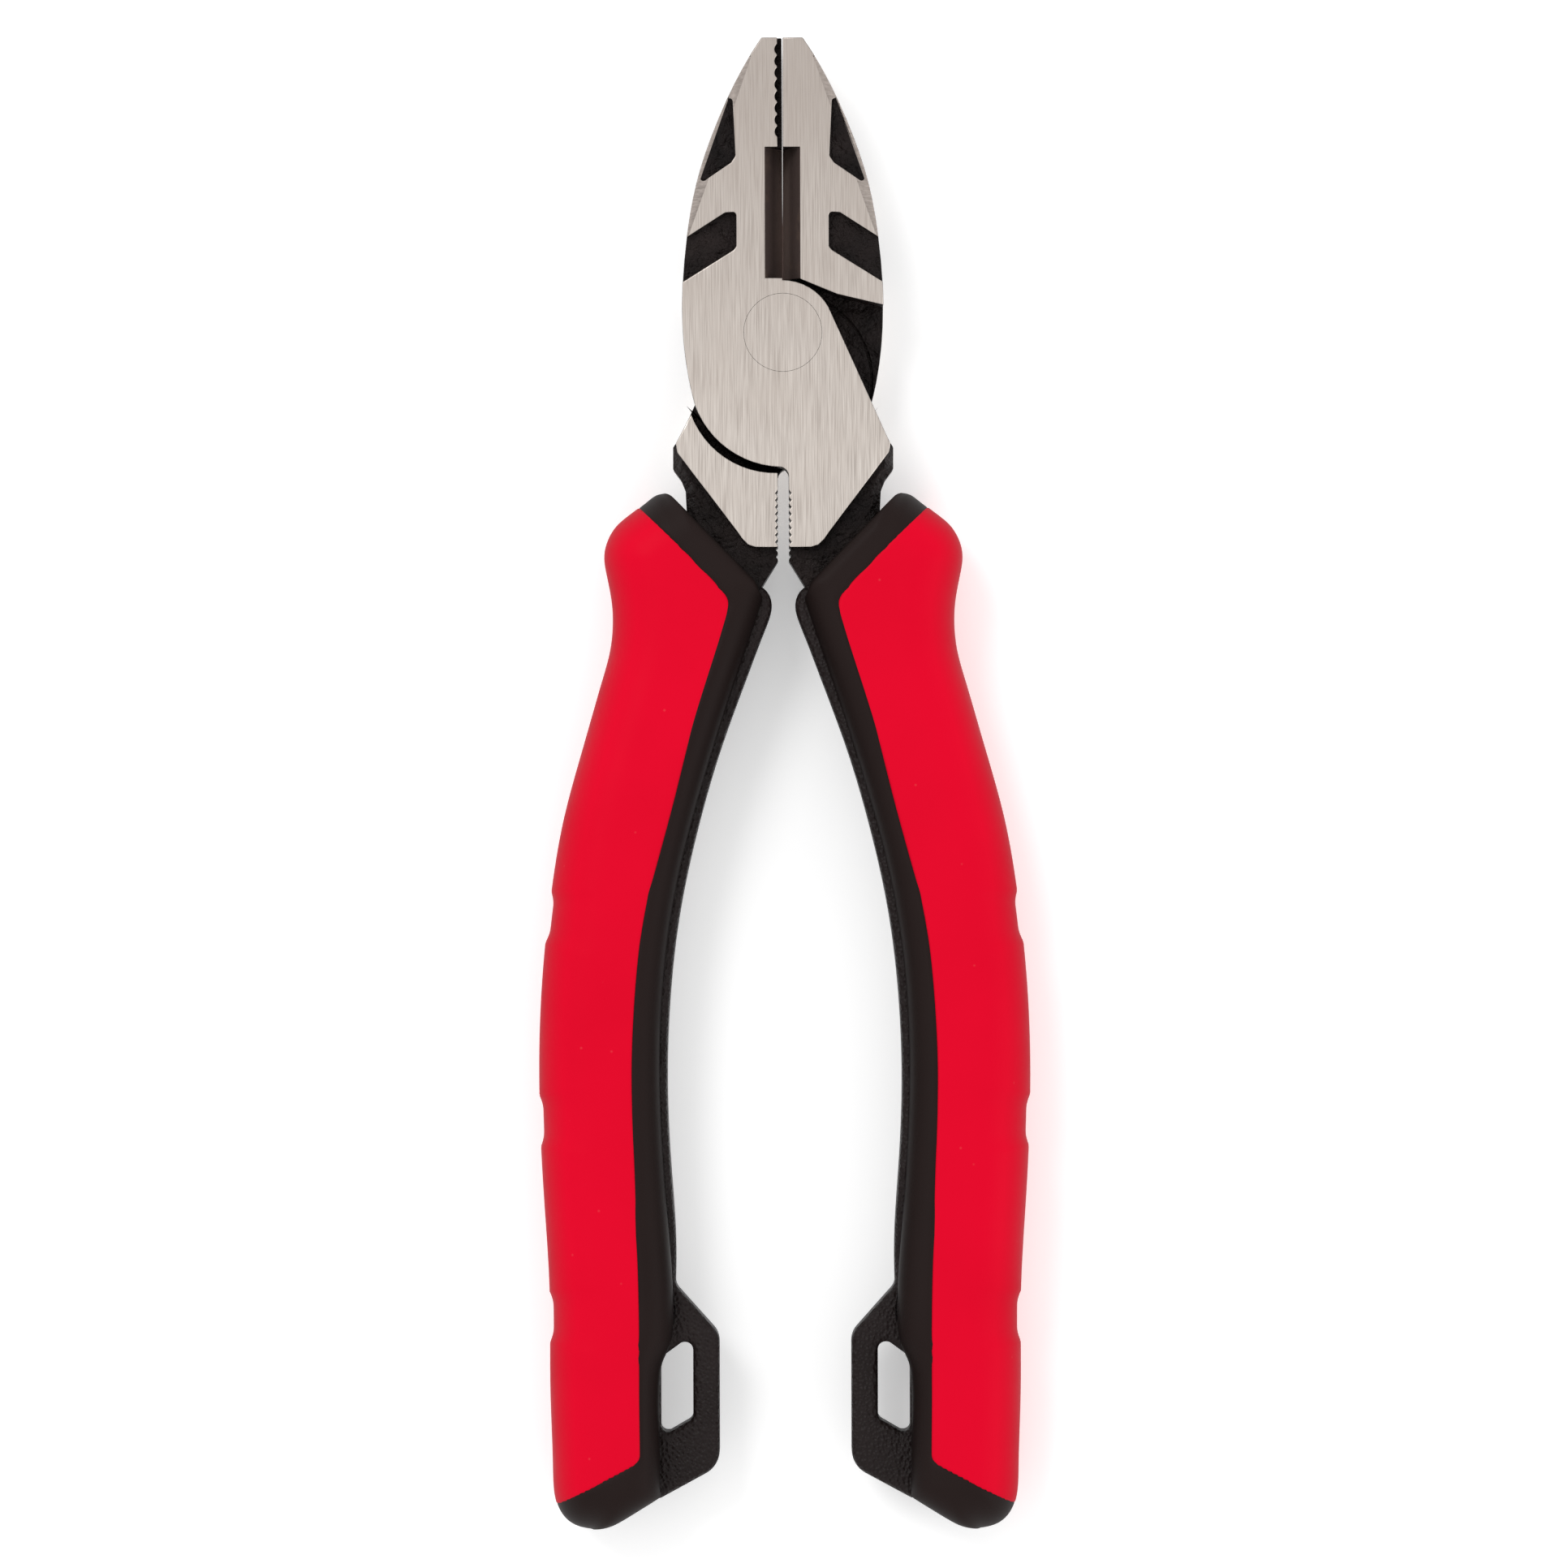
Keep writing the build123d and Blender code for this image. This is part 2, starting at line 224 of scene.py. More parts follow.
def brushed_grain_group():
    """Hairlines with broader bands among them, as a height and as a mask of the bright lines."""
    group, given, out = group_of(
        "brushed_grain",
        [("Vector", "NodeSocketVector", None), ("Hairline Stretch", "NodeSocketVector", None)],
        [("Height", "NodeSocketFloat"), ("Lines", "NodeSocketFloat")],
    )
    drawn_out = group.nodes.new("ShaderNodeMapping")
    group.links.new(given.outputs["Vector"], drawn_out.inputs["Vector"])
    group.links.new(given.outputs["Hairline Stretch"], drawn_out.inputs["Scale"])
    hairlines = noise(group, drawn_out.outputs["Vector"], 1.0, 2, 0.6)
    bands = noise(group, given.outputs["Vector"], 1.0, 2, 0.5, BAND_STRETCH)
    streaks = group.nodes.new("ShaderNodeMath")
    streaks.operation = "MULTIPLY_ADD"
    streaks.inputs[1].default_value = BAND_SHARE
    group.links.new(bands, streaks.inputs[0])
    group.links.new(hairlines, streaks.inputs[2])
    group.links.new(streaks.outputs[0], out.inputs["Height"])
    group.links.new(remap(group, streaks.outputs[0], 0.42, 0.72, 0, 1), out.inputs["Lines"])
    return group


brushed_grain = brushed_grain_group()


def ground_steel_material(name, dark, light, stretch):
    """Brushed steel of two tints, with painted shade darkening it towards the nose, and its hairlines
    stretched as asked.
    """
    material, tree, shader, coords = bare_material(name)
    grain = tree.nodes.new("ShaderNodeGroup")
    grain.node_tree = brushed_grain
    grain.inputs["Hairline Stretch"].default_value = stretch
    tree.links.new(coords, grain.inputs["Vector"])
    lines = grain.outputs["Lines"]
    cloud = noise(tree, coords, 70, 3, 0.5)
    tint = blend_colours(tree, lines, dark, light)
    warm = blend_colours(tree, remap(tree, cloud, 0.35, 0.7, 0, 0.3), tint, WARM_STAIN)
    place = tree.nodes.new("ShaderNodeSeparateXYZ")
    tree.links.new(coords, place.inputs["Vector"])
    # Painted shade: the steel fades to a darker tint towards the nose.
    nose_shade = remap(tree, place.outputs["Y"], NOSE_SHADE_FROM, NOSE_SHADE_TO, 0, NOSE_SHADE_SHARE)
    tree.links.new(blend_colours(tree, nose_shade, warm, NOSE_SHADE_STEEL), shader.inputs["Base Color"])
    shader.inputs["Metallic"].default_value = 1
    tree.links.new(remap(tree, lines, 0, 1, 0.44, 0.30), shader.inputs["Roughness"])
    tree.links.new(bump(tree, grain.outputs["Height"], 0.25, 0.02 * MM), shader.inputs["Normal"])
    return material


def black_scale_material():
    """Pitted black forging scale, in darker and greyer patches."""
    material, tree, shader, coords = bare_material("black_forging_scale")
    grain = noise(tree, coords, 1500, 4, 0.65)
    pits = noise(tree, coords, 420, 3, 0.55)
    patches = noise(tree, coords, 160, 4, 0.6)
    patchy = blend_colours(tree, remap(tree, patches, 0.3, 0.7, 0, 1), SCALE_BLACK, SCALE_GREY)
    tree.links.new(patchy, shader.inputs["Base Color"])
    shader.inputs["Metallic"].default_value = 0.35
    shader.inputs["Specular IOR Level"].default_value = SCALE_SPECULAR
    tree.links.new(remap(tree, pits, 0.3, 0.7, 0.20, 0.58), shader.inputs["Roughness"])
    rough = tree.nodes.new("ShaderNodeMath")
    rough.operation = "MULTIPLY_ADD"
    rough.inputs[1].default_value = GRAIN_SHARE
    tree.links.new(grain, rough.inputs[0])
    tree.links.new(pits, rough.inputs[2])
    tree.links.new(bump(tree, rough.outputs[0], 1.0, SCALE_RELIEF), shader.inputs["Normal"])
    return material


def cutter_material():
    """Brown-black cutter bevels, stained in places, with painted light brightening them towards the cutting
    edge at the seam.
    """
    material, tree, shader, coords = bare_material("cutter_bevel_scale")
    grain = noise(tree, coords, 1.0, 4, 0.6, (900, 900, 4200))
    stain = noise(tree, coords, 210, 4, 0.6)
    mottled = blend_colours(tree, remap(tree, stain, 0.52, 0.72, 0, 0.7), CUTTER_BROWN, CUTTER_RUST)
    place = tree.nodes.new("ShaderNodeSeparateXYZ")
    tree.links.new(coords, place.inputs["Vector"])
    from_edge = tree.nodes.new("ShaderNodeMath")
    from_edge.operation = "ABSOLUTE"
    tree.links.new(place.outputs["X"], from_edge.inputs[0])
    # Painted light: a lighter colour near the seam, against the shade deep in the groove.
    seam_light = remap(tree, from_edge.outputs[0], SEAM_LIGHT_REACH, SEAM_LIGHT_FULL, 0, 0.6)
    tree.links.new(blend_colours(tree, seam_light, mottled, SEAM_LIGHT), shader.inputs["Base Color"])
    shader.inputs["Metallic"].default_value = 0.3
    tree.links.new(remap(tree, grain, 0.3, 0.7, 0.35, 0.55), shader.inputs["Roughness"])
    tree.links.new(bump(tree, grain, 0.2, 0.04 * MM), shader.inputs["Normal"])
    return material


ground_steel = ground_steel_material(
    "ground_steel", (0.47, 0.418, 0.380, 1), (0.82, 0.75, 0.69, 1), (8200, 150, 900)
)
# Painted shade: the facets take darker tints of the same ground steel, standing in for the darker surround
# they reflect.
shaded_facet_steel = ground_steel_material(
    "ground_steel_facet_painted_shade", (0.20, 0.175, 0.16, 1), (0.42, 0.37, 0.34, 1), (600, 3800, 900)
)
black_scale = black_scale_material()
cutter_scale = cutter_material()

CHEEK_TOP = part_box("pivot_rivet")[1].z / MM
CHEEK_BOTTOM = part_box("pivot_rivet")[0].z / MM
EDGE_SOFTENING = 0.14
SHARP = radians(28)
FLATTEN = radians(0.8)
CUTTER_REACH = (2.3, 69.0, 86.6)
CUTTER_TILT = 0.2
CHEEK_TILT = 0.99
CHEEK_SLACK = 0.02
FACET_TILT = (0.6, 0.8)
FACET_FROM_Y = PIVOT_Y + 8
PIVOT = Vector((0, PIVOT_Y * MM))
HOLE_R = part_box("pivot_rivet")[1].x + 0.5 * MM
MERGE = 0.002 * MM
LEVEL = 0.999
GROUND, SCALE, CUTTER, FACET = range(4)


def finish_of(face):
    """Which of the four finishes a face of the forging has, from its place and its tilt."""
    place = face.calc_center_median() / MM
    upright = abs(face.normal.z)
    on_cheek = min(abs(place.z - CHEEK_TOP), abs(place.z - CHEEK_BOTTOM)) < CHEEK_SLACK
    if upright > CHEEK_TILT and on_cheek:
        return GROUND
    in_cutter = abs(place.x) < CUTTER_REACH[0] and CUTTER_REACH[1] < place.y < CUTTER_REACH[2]
    if in_cutter and upright > CUTTER_TILT:
        return CUTTER
    if FACET_TILT[0] < upright < FACET_TILT[1] and place.y > FACET_FROM_Y:
        return FACET
    return SCALE


def bevelled_lever(node, body):
    """The forging with its edges softened, but not round the rivet hole or along the facets."""
    mesh = frame["nodes"][node].data.copy()
    work = bmesh.new()
    work.from_mesh(mesh)
    bmesh.ops.remove_doubles(work, verts=work.verts, dist=MERGE)
    bmesh.ops.dissolve_limit(work, angle_limit=FLATTEN, verts=work.verts, edges=work.edges)
    for face in work.faces:
        face.material_index = finish_of(face)
    rim = [e for e in work.edges if all((v.co.xy - PIVOT).length < HOLE_R for v in e.verts)]
    crisp = [e for e in work.edges if {face.material_index for face in e.link_faces} == {GROUND, FACET}]
    kept = set(rim + crisp)
    sharp = [e for e in work.edges if e.calc_face_angle(0) > SHARP and e not in kept]
    bmesh.ops.bevel(
        work, geom=sharp, offset=EDGE_SOFTENING * MM, offset_type="OFFSET", segments=2, profile=0.6,
        affect="EDGES", clamp_overlap=False, material=-1,
    )
    bmesh.ops.triangulate(work, faces=[f for f in work.faces if len(f.verts) > 4])
    for face in work.faces:
        face.smooth = True
    for edge in work.edges:
        level = [abs(face.normal.z) > LEVEL for face in edge.link_faces]
        edge.smooth = all(level) or not any(level)
    mesh = bpy.data.meshes.new(node + "_forging")
    work.to_mesh(mesh)
    work.free()
    for material in (ground_steel, black_scale, cutter_scale, shaded_facet_steel):
        mesh.materials.append(material)
    lever = bpy.data.objects.new(node + "_forging", mesh)
    bpy.context.scene.collection.objects.link(lever)
    keep_flat = lever.modifiers.new("flat_cheeks", "WEIGHTED_NORMAL")
    keep_flat.weight = 90
    keep_flat.keep_sharp = True
    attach(lever, body)
    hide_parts(node)


bevelled_lever("left_jaw_lever", "left_jaw_half")
bevelled_lever("right_jaw_lever", "right_jaw_half")

rivet = frame["nodes"]["pivot_rivet"]
rivet.data.materials.clear()
rivet.data.materials.append(ground_steel)


# ---- Handle cores ----
# A hard black plastic sleeve is moulded round each steel tang. Only what shows of it is made here: a grained
# rib along the inner edge of the handle, and the flat loop for a tether near its end.
DUST = (0.8, 0.5, 0.45, 1)


def evenly(line, count):
    """The same line as count points evenly spaced along it."""
    line = np.array(line, float)
    run = np.r_[0, np.cumsum(np.linalg.norm(np.diff(line, axis=0), axis=1))]
    at = np.linspace(0, run[-1], count)
    return np.column_stack([np.interp(at, run, line[:, 0]), np.interp(at, run, line[:, 1])])


def through(points, count):
    """A natural spline through the points, as count points evenly spaced along it."""
    knots = np.array(points, float)
    at = np.r_[0, np.cumsum(np.linalg.norm(np.diff(knots, axis=0), axis=1) ** 0.5)]
    gap = np.diff(at)
    slope = np.diff(knots, axis=0) / gap[:, None]
    system = np.eye(len(knots))
    target = np.zeros_like(knots)
    for i in range(1, len(gap)):
        system[i, i - 1:i + 2] = gap[i - 1], 2 * (gap[i - 1] + gap[i]), gap[i]
        target[i] = 6 * (slope[i] - slope[i - 1])
    bend = np.linalg.solve(system, target)
    where = np.linspace(0, at[-1], 40 * len(knots))
    i = np.clip(np.searchsorted(at, where) - 1, 0, len(gap) - 1)
    h = gap[i][:, None]
    a, b = (at[i + 1] - where)[:, None], (where - at[i])[:, None]
    line = (bend[i] * a**3 + bend[i + 1] * b**3) / (6 * h)
    line += (knots[i] / h - bend[i] * h / 6) * a + (knots[i + 1] / h - bend[i + 1] * h / 6) * b
    return evenly(line, count)


def filleted(corners, closed=True):
    """An outline of corners (x, y, radius), each rounded by an arc."""
    line = []
    for k, (x, y, r) in enumerate(corners):
        here = np.array((x, y))
        if not closed and k in (0, len(corners) - 1):
            line.append(here)
            continue
        before = np.array(corners[k - 1][:2]) - here
        after = np.array(corners[(k + 1) % len(corners)][:2]) - here
        before, after = before / np.linalg.norm(before), after / np.linalg.norm(after)
        half = np.arccos(np.clip(before @ after, -1, 1)) / 2
        centre = here + (before + after) / np.linalg.norm(before + after) * r / np.sin(half)
        start, end = (here + way * r / np.tan(half) - centre for way in (before, after))
        for f in np.linspace(0, 1, 9):
            spoke = start * (1 - f) + end * f
            line.append(centre + spoke / np.linalg.norm(spoke) * r)
    return np.array(line + line[:1] if closed else line)


def tube_faces(rings, around, closed_along=False):
    """Quads over rings of points, one ring after another; the last may join the first."""
    ring = np.arange(rings if closed_along else rings - 1)[:, None] * around
    after = (ring + around) % (rings * around)
    j, k = np.arange(around), (np.arange(around) + 1) % around
    return np.stack([ring + j, ring + k, after + k, after + j], axis=-1).reshape(-1, 4).tolist()


def mesh_piece(name, vertices, faces, material, flip):
    """A smooth object from vertices in millimetres, z measured from the tool's middle; flip mirrors it."""
    places = np.array(vertices, float).reshape(-1, 3) * (flip, 1, 1) + (0, 0, Z_MID)
    mesh = bpy.data.meshes.new(name)
    mesh.from_pydata((places * MM).tolist(), [], faces)
    work = bmesh.new()
    work.from_mesh(mesh)
    bmesh.ops.remove_doubles(work, verts=work.verts, dist=MERGE)
    bmesh.ops.dissolve_degenerate(work, edges=work.edges, dist=0.0005 * MM)
    bmesh.ops.recalc_face_normals(work, faces=work.faces)
    for face in work.faces:
        face.smooth = True
    work.to_mesh(mesh)
    work.free()
    mesh.materials.append(material)
    piece = bpy.data.objects.new(name, mesh)
    bpy.context.scene.collection.objects.link(piece)
    return piece


def moulded_grain_group():
    """Pebbled mould texture as a height, with a mask of rubbed clouds and one of dust specks."""
    group, given, out = group_of(
        "moulded_grain",
        [("Vector", "NodeSocketVector", None), ("Grain Scale", "NodeSocketFloat", 2600.0),
         ("Cloud Scale", "NodeSocketFloat", 55.0), ("Speck Scale", "NodeSocketFloat", 260.0)],
        [("Height", "NodeSocketFloat"), ("Rubbed", "NodeSocketFloat"), ("Specks", "NodeSocketFloat")],
    )
    pebbles, specks = (group.nodes.new("ShaderNodeTexVoronoi") for _ in range(2))
    fine, cloud = (group.nodes.new("ShaderNodeTexNoise") for _ in range(2))
    scaled = (
        (pebbles, "Grain Scale"), (fine, "Grain Scale"), (cloud, "Cloud Scale"), (specks, "Speck Scale"),
    )
    for node, socket in scaled:
        group.links.new(given.outputs["Vector"], node.inputs["Vector"])
        group.links.new(given.outputs[socket], node.inputs["Scale"])
    fine.inputs["Detail"].default_value = 4
    cloud.inputs["Detail"].default_value = 4
    height = group.nodes.new("ShaderNodeMath")
    height.operation = "MULTIPLY_ADD"
    height.inputs[1].default_value = 0.7
    group.links.new(fine.outputs["Fac"], height.inputs[0])
    group.links.new(pebbles.outputs["Distance"], height.inputs[2])
    group.links.new(height.outputs[0], out.inputs["Height"])
    group.links.new(remap(group, cloud.outputs["Fac"], 0.35, 0.72, 0, 1), out.inputs["Rubbed"])
    group.links.new(remap(group, specks.outputs["Distance"], 0.02, 0.06, 1, 0), out.inputs["Specks"])
    return group


moulded_grain = moulded_grain_group()


def moulded_material(name, colours, roughness, grain_scale, relief, specular, dust=0.0):
    """Moulded plastic or rubber. Its colours are fresh, rubbed by handling, and a painted side shading for
    the steep sides, standing in for how light falls on them.

    Roughness is (fresh, rubbed), and relief is (bump strength, height in mm).
    """
    material, tree, shader, coords = bare_material(name)
    grain = tree.nodes.new("ShaderNodeGroup")
    grain.node_tree = moulded_grain
    grain.inputs["Grain Scale"].default_value = grain_scale
    tree.links.new(coords, grain.inputs["Vector"])
    fresh, rubbed, painted_side_shading = colours
    tint = blend_colours(tree, grain.outputs["Rubbed"], fresh, rubbed)
    if dust:
        tint = blend_colours(tree, remap(tree, grain.outputs["Specks"], 0, 1, 0, dust), tint, DUST)
    # Painted side shading: the steep sides, by their normal, take the third colour in place of the lit one.
    lie = tree.nodes.new("ShaderNodeSeparateXYZ")
    tree.links.new(coords.node.outputs["Normal"], lie.inputs["Vector"])
    level = tree.nodes.new("ShaderNodeMath")
    level.operation = "ABSOLUTE"
    tree.links.new(lie.outputs["Z"], level.inputs[0])
    tint = blend_colours(tree, remap(tree, level.outputs[0], 0.85, 0.15, 0, 1), tint, painted_side_shading)
    tree.links.new(tint, shader.inputs["Base Color"])
    tree.links.new(remap(tree, grain.outputs["Rubbed"], 0, 1, *roughness), shader.inputs["Roughness"])
    tree.links.new(bump(tree, grain.outputs["Height"], relief[0], relief[1] * MM), shader.inputs["Normal"])
    shader.inputs["Specular IOR Level"].default_value = specular
    return material


# Its third colour, lighter than the fresh one, is a painted highlight on the steep sides of the rib and the
# loop.
core_plastic = moulded_material(
    "grained_black_plastic",
    ((0.0088, 0.0050, 0.0046, 1), (0.019, 0.0128, 0.0125, 1), (0.012, 0.008, 0.008, 1)),
    roughness=(0.36, 0.50), grain_scale=2100, relief=(1.0, 0.20), specular=0.17,
)

SIDES = {"left": (1, "right_jaw_half"), "right": (-1, "left_jaw_half")}
RIB_EDGE = [
    (-3.7, 27.3), (-2.4, 26.5), (-1.65, 25.0), (-1.8, 23.2), (-3.0, 20.0), (-4.9, 15.0), (-8.55, 5.0),
    (-11.5, -5.0), (-13.8, -15.0), (-15.25, -25.0), (-16.0, -37.5), (-15.7, -50.0), (-15.0, -60.0),
    (-14.9, -66.0), (-15.1, -72.0),
]
RIB_RINGS = 170
RIB_REACH = 3.4
RIB_HALF = 5.0
RIB_ROUND = 0.9
RIB_THINS_AT = (-54.0, -66.0)
RIB_INSET = 0.2
LOOP_HALF = 3.0
LOOP_ROUND = 0.75
LOOP_POINTS = 280
SLOT_POINTS = 1400
LOOP_OUTLINE = [
    (-19.0, -65.0, 1.0), (-15.2, -65.0, 0.3), (-14.9, -68.3, 2.0), (-9.0, -74.9, 3.0), (-9.0, -92.9, 3.6),
    (-17.1, -97.3, 1.0), (-19.5, -97.6, 0.5),
]
SLOT_OUTLINE = [
    (-17.0, -78.1, 1.2), (-14.1, -76.0, 0.9), (-12.6, -76.0, 1.05), (-12.6, -86.4, 1.2), (-15.7, -88.2, 0.7),
    (-17.0, -88.2, 0.9),
]


def rounded_edge(r, half):
    """Points (inwards, up) over a quarter-round edge, from the upright side to the flat face."""
    return [(r * (1 - cos(t)), half - r * (1 - sin(t))) for t in np.linspace(0, pi / 2, 6)]


def rib_mesh():
    """Points and faces of the rib: a rounded bar swept along its edge line, thinning into the loop."""
    line = through(RIB_EDGE, RIB_RINGS)
    along = np.gradient(line, axis=0)
    along /= np.linalg.norm(along, axis=1)[:, None]
    rings = []
    for place, (dx, dy) in zip(line, along):
        fade = np.clip((place[1] - RIB_THINS_AT[0]) / (RIB_THINS_AT[1] - RIB_THINS_AT[0]), 0, 1)
        half = RIB_HALF + (LOOP_HALF - RIB_INSET - RIB_HALF) * fade * fade * (3 - 2 * fade)
        upper = [(0, 0)] + rounded_edge(RIB_ROUND, half) + [(RIB_REACH / 2, half), (RIB_REACH, half)]
        ring = upper + [(d, -z) for d, z in upper[:0:-1]]
        rings.append([(place[0] + dy * d, place[1] - dx * d, z) for d, z in ring])
    around = len(rings[0])
    last = (len(rings) - 1) * around
    end_caps = [list(range(around)), list(range(last, last + around))]
    return np.array(rings).reshape(-1, 3), tube_faces(len(rings), around) + end_caps


def into_plate(line, sign):
    """Unit normals of a closed outline, turned to the plate's side."""
    along = np.roll(line, -1, axis=0) - np.roll(line, 1, axis=0)
    normals = np.column_stack([along[:, 1], -along[:, 0]]) * sign
    return normals / np.linalg.norm(normals, axis=1)[:, None]


def loop_mesh():
    """Points and faces of the loop: a round-edged plate between its outline and the slot's."""
    outline = evenly(filleted(LOOP_OUTLINE), LOOP_POINTS + 1)[:-1]
    slot = evenly(filleted(SLOT_OUTLINE), SLOT_POINTS + 1)[:-1]
    middle = slot.mean(axis=0)
    bearing, slot_bearing = (np.arctan2(*(line - middle).T[::-1]) for line in (outline, slot))
    matched = [np.abs(np.angle(np.exp(1j * (slot_bearing - b)))).argmin() for b in bearing]
    outline_in, slot_in = into_plate(outline, 1), into_plate(slot, -1)[matched]
    slot = slot[matched]
    edge = rounded_edge(LOOP_ROUND, LOOP_HALF)
    upper = [np.column_stack([outline + outline_in * d, np.full(len(outline), z)]) for d, z in edge]
    upper.append(np.column_stack([(outline + slot) / 2, np.full(len(outline), LOOP_HALF)]))
    upper += [np.column_stack([slot + slot_in * d, np.full(len(outline), z)]) for d, z in reversed(edge)]
    rings = np.stack(upper + [strip * (1, 1, -1) for strip in reversed(upper)], axis=1)
    return rings.reshape(-1, 3), tube_faces(len(outline), rings.shape[1], closed_along=True)


for side, (flip, body) in SIDES.items():
    rib_points, rib_faces = rib_mesh()
    loop_points, loop_faces = loop_mesh()
    faces = rib_faces + [[i + len(rib_points) for i in face] for face in loop_faces]
    points = np.vstack([rib_points, loop_points])
    core = mesh_piece(f"{side}_core_rib_and_loop", points, faces, core_plastic, flip)
    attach(core, body)
    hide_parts(f"{side}_handle_core")


# ---- Black overmould ----
# The smooth soft sleeve over the core: collar, band beside the red, and rounded heel. It is moulded first,
# with a shallow bed that the red is then shot into.
# Its third colour, darker than the fresh one, is painted shade on the steep sides.
black_rubber = moulded_material(
    "smooth_black_overmould",
    ((0.0135, 0.0068, 0.0060, 1), (0.0162, 0.0088, 0.0079, 1), (0.0085, 0.0050, 0.0046, 1)),
    roughness=(0.50, 0.62), grain_scale=3600, relief=(0.25, 0.03), specular=0.12,
)

OUTER_SIDE = [
    (-16.5, 39.75), (-17.4, 39.5), (-18.5, 38.7), (-21.0, 36.8), (-22.9, 35.1), (-24.05, 33.0), (-24.4, 31.0),
    (-24.1, 28.8), (-23.5, 25.7), (-23.25, 22.5), (-23.6, 18.5), (-24.8, 14.0), (-27.4, 5.0), (-30.1, -5.0),
    (-31.8, -15.0), (-32.9, -25.0), (-33.45, -37.0), (-33.2, -50.0), (-32.6, -60.0), (-32.1, -70.0),
    (-32.05, -82.0), (-31.75, -92.0), (-31.4, -97.3), (-30.2, -99.8), (-28.5, -101.0), (-26.2, -101.5),
]
COLLAR = [(-16.5, 39.75, 0), (-15.6, 39.75, 1.9), (-3.75, 27.6, 1.8), (-2.85, 25.2, 1.0)]
BAND_SIDE = [
    (-2.85, 25.2), (-3.9, 22.0), (-5.4, 17.6), (-8.3, 9.0), (-11.1, 0.0), (-13.8, -10.0), (-15.7, -20.0),
    (-16.7, -30.0), (-16.95, -40.0), (-16.6, -50.0), (-15.9, -60.0), (-15.35, -68.0), (-15.3, -73.5),
    (-15.7, -76.2), (-16.6, -78.2), (-17.1, -80.5), (-17.2, -86.0), (-17.15, -92.0), (-17.1, -97.0),
]
HEEL = [(-17.1, -97.0), (-21.9, -99.95), (-24.0, -101.0), (-26.2, -101.5)]
SCALLOPS = (-18.0, -45.75, -72.5)
SCALLOP_HALF = 3.5
SCALLOP_RAMP = 2.0
SCALLOP_DEPTH = 0.5
THINNEST = 1.5
GRIP_ROWS = 330
ACROSS = 30
WALL_STEPS = 5
BATCH = 3000


def scalloped(line):
    """The outer side with its shallow finger notches, each with a crisp crest at both ends."""
    for middle in SCALLOPS:
        inside = np.clip((SCALLOP_HALF - np.abs(line[:, 1] - middle)) / SCALLOP_RAMP, 0, 1)
        line = line + np.column_stack([SCALLOP_DEPTH * np.sin(inside * pi / 2), np.zeros(len(line))])
    return line


outer_side = scalloped(through(OUTER_SIDE, 1500))
collar_side = filleted(COLLAR, closed=False)
band_side = through(BAND_SIDE, 600)
heel_side = through(HEEL, 60)
ROUNDINGS = ((outer_side[::3], 7.0), (collar_side, 1.6), (band_side[::3], 4.2), (heel_side, 4.0))


def nearest(line, places):
    """Distance in plan from each place to a line, less than nothing on the line's left-hand side."""
    start, run = line[:-1], np.diff(line, axis=0)
    found = []
    for batch in np.array_split(places, len(places) // BATCH + 1):
        off = batch[:, None] - start[None]
        f = np.clip((off * run).sum(2) / (run**2).sum(1), 0, 1)
        gap = np.linalg.norm(off - f[..., None] * run, axis=2)
        k = gap.argmin(1)
        near = off[np.arange(len(batch)), k]
        side = run[k, 0] * near[:, 1] - run[k, 1] * near[:, 0]
        found.append(np.where(side > 0, -1, 1) * gap.min(1))
    return np.concatenate(found)


def half_height(places):
    """Half of the grip's thickness over each place: flat in the middle and rounded towards every side."""
    drop = np.zeros(len(places))
    for line, r in ROUNDINGS:
        near = np.clip(np.abs(nearest(line, places)) / r, 0, 1)
        drop += (r - r * np.sqrt(1 - (1 - near) ** 2)) ** 3
    return Z_MID - np.minimum(np.cbrt(drop), Z_MID - THINNEST)


def face_and_walls(first, second):
    """Grids of the upper face, the wall under the second line, the lower face and the other wall."""
    spread = (1 - np.cos(np.linspace(0, pi, ACROSS))) / 2
    plan = first[:, None] + (second - first)[:, None] * spread[None, :, None]
    height = half_height(plan.reshape(-1, 2)).reshape(plan.shape[:2])
    upper = np.dstack([plan, height])
    levels = np.linspace(1, -1, WALL_STEPS + 1)[1:-1]
    wall = {k: upper[:, k, None] * np.array([(1, 1, level) for level in levels]) for k in (0, -1)}
    return upper, wall[-1], upper[:, ::-1] * (1, 1, -1), wall[0][:, ::-1]


def outward(grid, across):
    """Unit normals of a grid of points, given the change of its points across each row."""
    normals = np.cross(np.gradient(grid, axis=0), across)
    length = np.linalg.norm(normals, axis=2, keepdims=True)
    normals = normals / np.maximum(length, 1e-9)
    normals[0], normals[-1] = normals[1], normals[-2]
    return normals


RED_EDGE = [
    (-19.45, 37.9), (-16.6, 35.1), (-13.7, 32.2), (-10.8, 29.2), (-9.1, 27.4), (-8.15, 26.3), (-7.5, 25.2),
    (-7.35, 23.9), (-7.65, 22.5), (-8.95, 18.2), (-12.45, 7.0), (-15.2, -3.8), (-18.1, -14.4),
    (-19.6, -22.5), (-20.5, -33.6), (-20.65, -42.0), (-20.2, -55.0), (-19.85, -67.8), (-19.7, -79.0),
    (-19.6, -89.5),
]
RED_FOOT = [(-19.6, -89.5, 0), (-19.6, -91.9, 1.8), (-31.2, -98.15, 0)]
red_edge = np.vstack([through(RED_EDGE, 500), filleted(RED_FOOT, closed=False)[1:]])
BED_DEPTH = 1.6
BED_EDGE = (0.35, 1.2)

